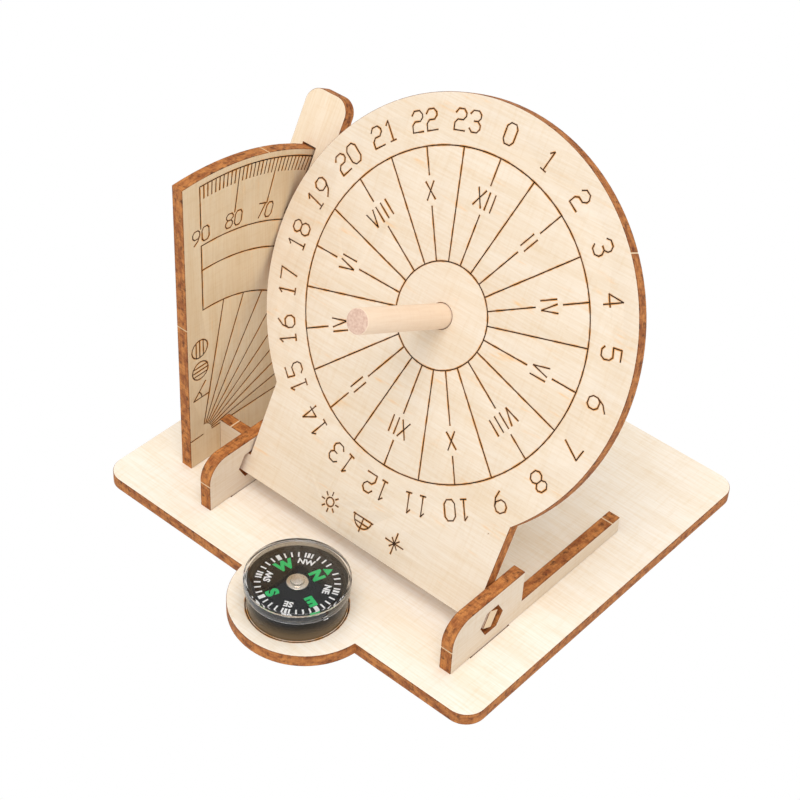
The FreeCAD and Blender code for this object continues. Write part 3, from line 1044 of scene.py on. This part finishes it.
def makeCase(made):
    # the clear lid with its moulding nub, and the smoky cup, painted with the wood seen through its foot and
    # with shade towards its top, and its black rim
    work = bmesh.new()
    work.from_mesh(turnedMesh("lid", compass["lid"], compassOrigin, 0.1 * mm))
    angle = math.radians(compass["nubDegrees"])
    away = Vector((math.cos(angle), math.sin(angle), 0))
    radius, height = compass["nubPlace"]
    nub = facePlane(compassOrigin + away * radius * mm + up * height * mm, away, up)
    size = Matrix.Diagonal((*(side * mm for side in compass["nubSize"]), 1))
    bmesh.ops.create_cube(work, size=1.0, matrix=nub @ size)
    low, high = compass["smokedHeights"]
    for face in work.faces:
        aside = face.calc_center_median() - compassOrigin
        if aside.xy.length < compass["smokedWithin"] * mm and low * mm < aside.z < high * mm:
            face.material_index = 1
    lid = newPiece("compassLid", meshFrom(work, "compassLid"), [made["clear"], made["smoked"]])
    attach(lid, "stand")
    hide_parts("compass_cover")
    work = bmesh.new()
    work.from_mesh(turnedMesh("compassCup", compass["cup"], compassOrigin))
    for face in work.faces:
        if face.calc_center_median().z > baseHigh.z + compass["blackFrom"] * mm:
            face.material_index = 1
    cup = newPiece("compassCup", meshFrom(work, "compassCup"), [made["smoky"], made["rim"]])
    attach(cup, "stand")
    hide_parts("compass_case")


def makeCard(made):
    # the printed card with its bearing cap, which turn together on the needle
    cardRadius = (cardHigh.x - cardLow.x) / 2 / mm
    low = (cardLow.z - baseHigh.z) / mm
    high = (cardHigh.z - baseHigh.z) / mm
    work = bmesh.new()
    work.from_mesh(turnedMesh("disc", ((compass["stem"], low), (cardRadius, low), (cardRadius, high),
                                       (compass["stem"], high)), compassOrigin, 0.04 * mm))
    for mesh, ink in cardPrint():
        before = len(work.faces)
        work.from_mesh(mesh)
        work.faces.ensure_lookup_table()
        for face in work.faces[before:]:
            face.material_index = ink
        bpy.data.meshes.remove(mesh)
    mesh = bpy.data.meshes.new("compassCard")
    work.to_mesh(mesh)
    work.free()
    card = newPiece("compassCard", mesh, [made["card"], made["white"], made["green"]])
    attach(card, "card")
    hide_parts("compass_card")

    flange, stem, bore = compass["hubFlange"], compass["stem"], compass["hubBore"]
    top = (hubHigh.z - baseHigh.z) / mm
    stemEnd = (hubLow.z - baseHigh.z) / mm
    flangeTop = high + compass["hubFlangeHeight"]
    roof = top - compass["hubRoof"]
    cap = turnedMesh("compassHub", ((bore, stemEnd), (stem, stemEnd), (stem, high), (flange, high),
                                    (flange, flangeTop), (compass["hubTop"], flangeTop),
                                    (compass["hubTop"], top), (0, top), (0, roof), (bore, roof)),
                     compassOrigin, 0.12 * mm)
    hub = newPiece("compassHub", cap, [made["bright"]])
    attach(hub, "card")
    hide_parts("compass_hub")


def makeCompass():
    made = compassMaterials()
    makeCase(made)
    makeCard(made)
    for node, material in (("compass_needle", "steel"), ("compass_magnet", "magnet")):
        data = frame["nodes"][node].data
        data.materials.clear()
        data.materials.append(made[material])


makeCompass()
print("compass made")

studio = {
    "world": 0.79,
    "mirrored": 0.2,
    "keyWay": Vector((0.2, -0.3, 0.93)),
    "keyDistance": 1.2,
    "keySize": 0.8,
    "keyPower": 7.4,
    "floorHalf": 3.0,
    "floorDrop": 0.05 * mm,
}


def makeStudio():
    material = bpy.data.materials.new("studioFloor")
    material.use_nodes = True
    tree = material.node_tree
    tree.nodes.clear()
    build = Builder(tree)
    glow = build.add("ShaderNodeEmission")
    build.link(glow.outputs[0], build.add("ShaderNodeOutputMaterial").inputs["Surface"])
    work = bmesh.new()
    bmesh.ops.create_grid(work, x_segments=1, y_segments=1, size=studio["floorHalf"])
    mesh = bpy.data.meshes.new("floor")
    work.to_mesh(mesh)
    work.free()
    floor = newPiece("floor", mesh, [material])
    floor.location.z = baseLow.z - studio["floorDrop"]
    world = bpy.data.worlds.new("studio")
    world.use_nodes = True
    sky = world.node_tree.nodes["Background"]
    sky.inputs["Color"].default_value = (1, 1, 1, 1)
    build = Builder(world.node_tree)
    path = build.add("ShaderNodeLightPath")
    through = build.value("SUBTRACT", 1.0, path.outputs["Is Transmission Ray"])
    mirrored = build.value("MULTIPLY", path.outputs["Is Glossy Ray"], through)
    build.link(build.value("MULTIPLY_ADD", mirrored, studio["mirrored"] - studio["world"], studio["world"]),
               sky.inputs["Strength"])
    bpy.context.scene.world = world
    data = bpy.data.lights.new("softbox", "AREA")
    data.size = studio["keySize"]
    data.energy = studio["keyPower"]
    lamp = bpy.data.objects.new("softbox", data)
    way = studio["keyWay"].normalized()
    lamp.location = way * studio["keyDistance"]
    lamp.rotation_euler = way.to_track_quat("Z", "Y").to_euler()
    bpy.context.scene.collection.objects.link(lamp)
    bpy.context.scene.view_settings.view_transform = "Standard"


makeStudio()
